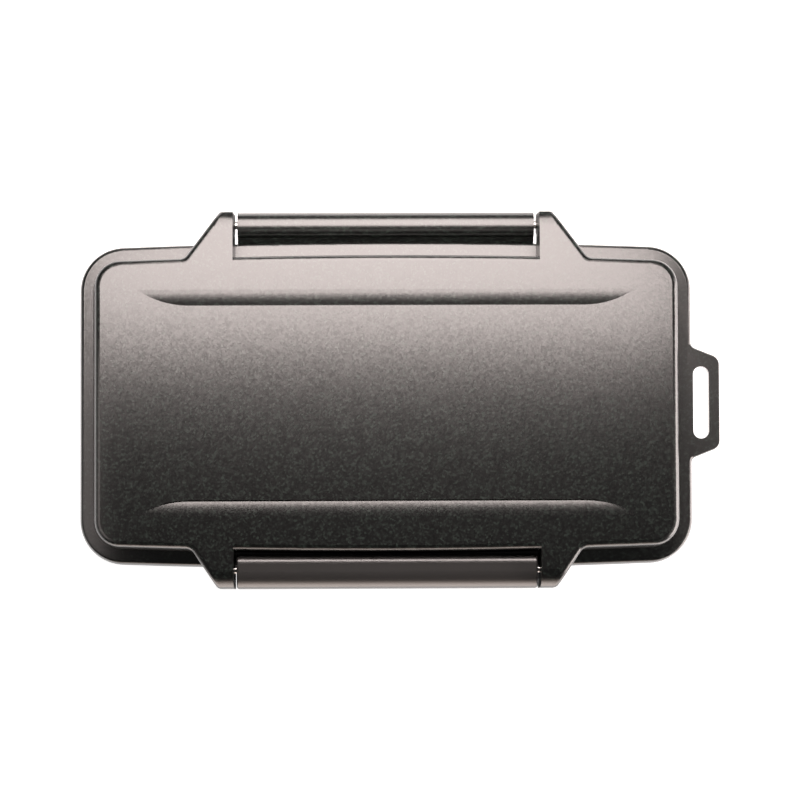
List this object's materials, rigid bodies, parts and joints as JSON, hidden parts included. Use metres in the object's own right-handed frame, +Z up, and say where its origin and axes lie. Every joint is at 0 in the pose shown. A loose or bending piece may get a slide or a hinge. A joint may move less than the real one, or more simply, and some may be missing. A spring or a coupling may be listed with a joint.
{
  "type": "memory card case",
  "caption": "Flat hard case for memory cards: a lid with ears on a hinge pin, a swinging latch bar that clips over the base's rim, a lanyard loop, a seal and soft card trays",
  "frame": {"origin": "middle of the base's flat underside, with the rim centred above it", "axes": "+X along the long side to the lanyard loop, +Y to the hinge, +Z up through the lid"},
  "size_m": [0.1398, 0.0825, 0.022],
  "materials": {
    "shell_plastic": "black plastic with a fine satin grain",
    "latch_plastic": "black plastic, smoother than the shells",
    "pin_steel": "bright drawn wire",
    "seal_rubber": "soft black rubber",
    "liner_rubber": "soft dark grey moulded rubber"
  },
  "bodies": {
    "base": {"base_shell": "shell_plastic", "rim_seal": "seal_rubber", "base_liner": "liner_rubber"},
    "lid": {"lid_shell": "shell_plastic", "lid_liner": "liner_rubber", "hinge_pin": "pin_steel", "latch_pin": "pin_steel"},
    "latch": {"latch_bar": "latch_plastic"}
  },
  "joints": [
    {"name": "lid_hinge", "type": "hinge", "parent": "base", "child": "lid", "pos_m": [0, 0.03955, 0.0124], "axis": [-1, 0, 0], "range_deg": [0, 180]},
    {"name": "latch_swing", "type": "hinge", "parent": "lid", "child": "latch", "pos_m": [0, -0.0361, 0.0172], "axis": [-1, 0, 0], "range_deg": [0, 110]}
  ]
}
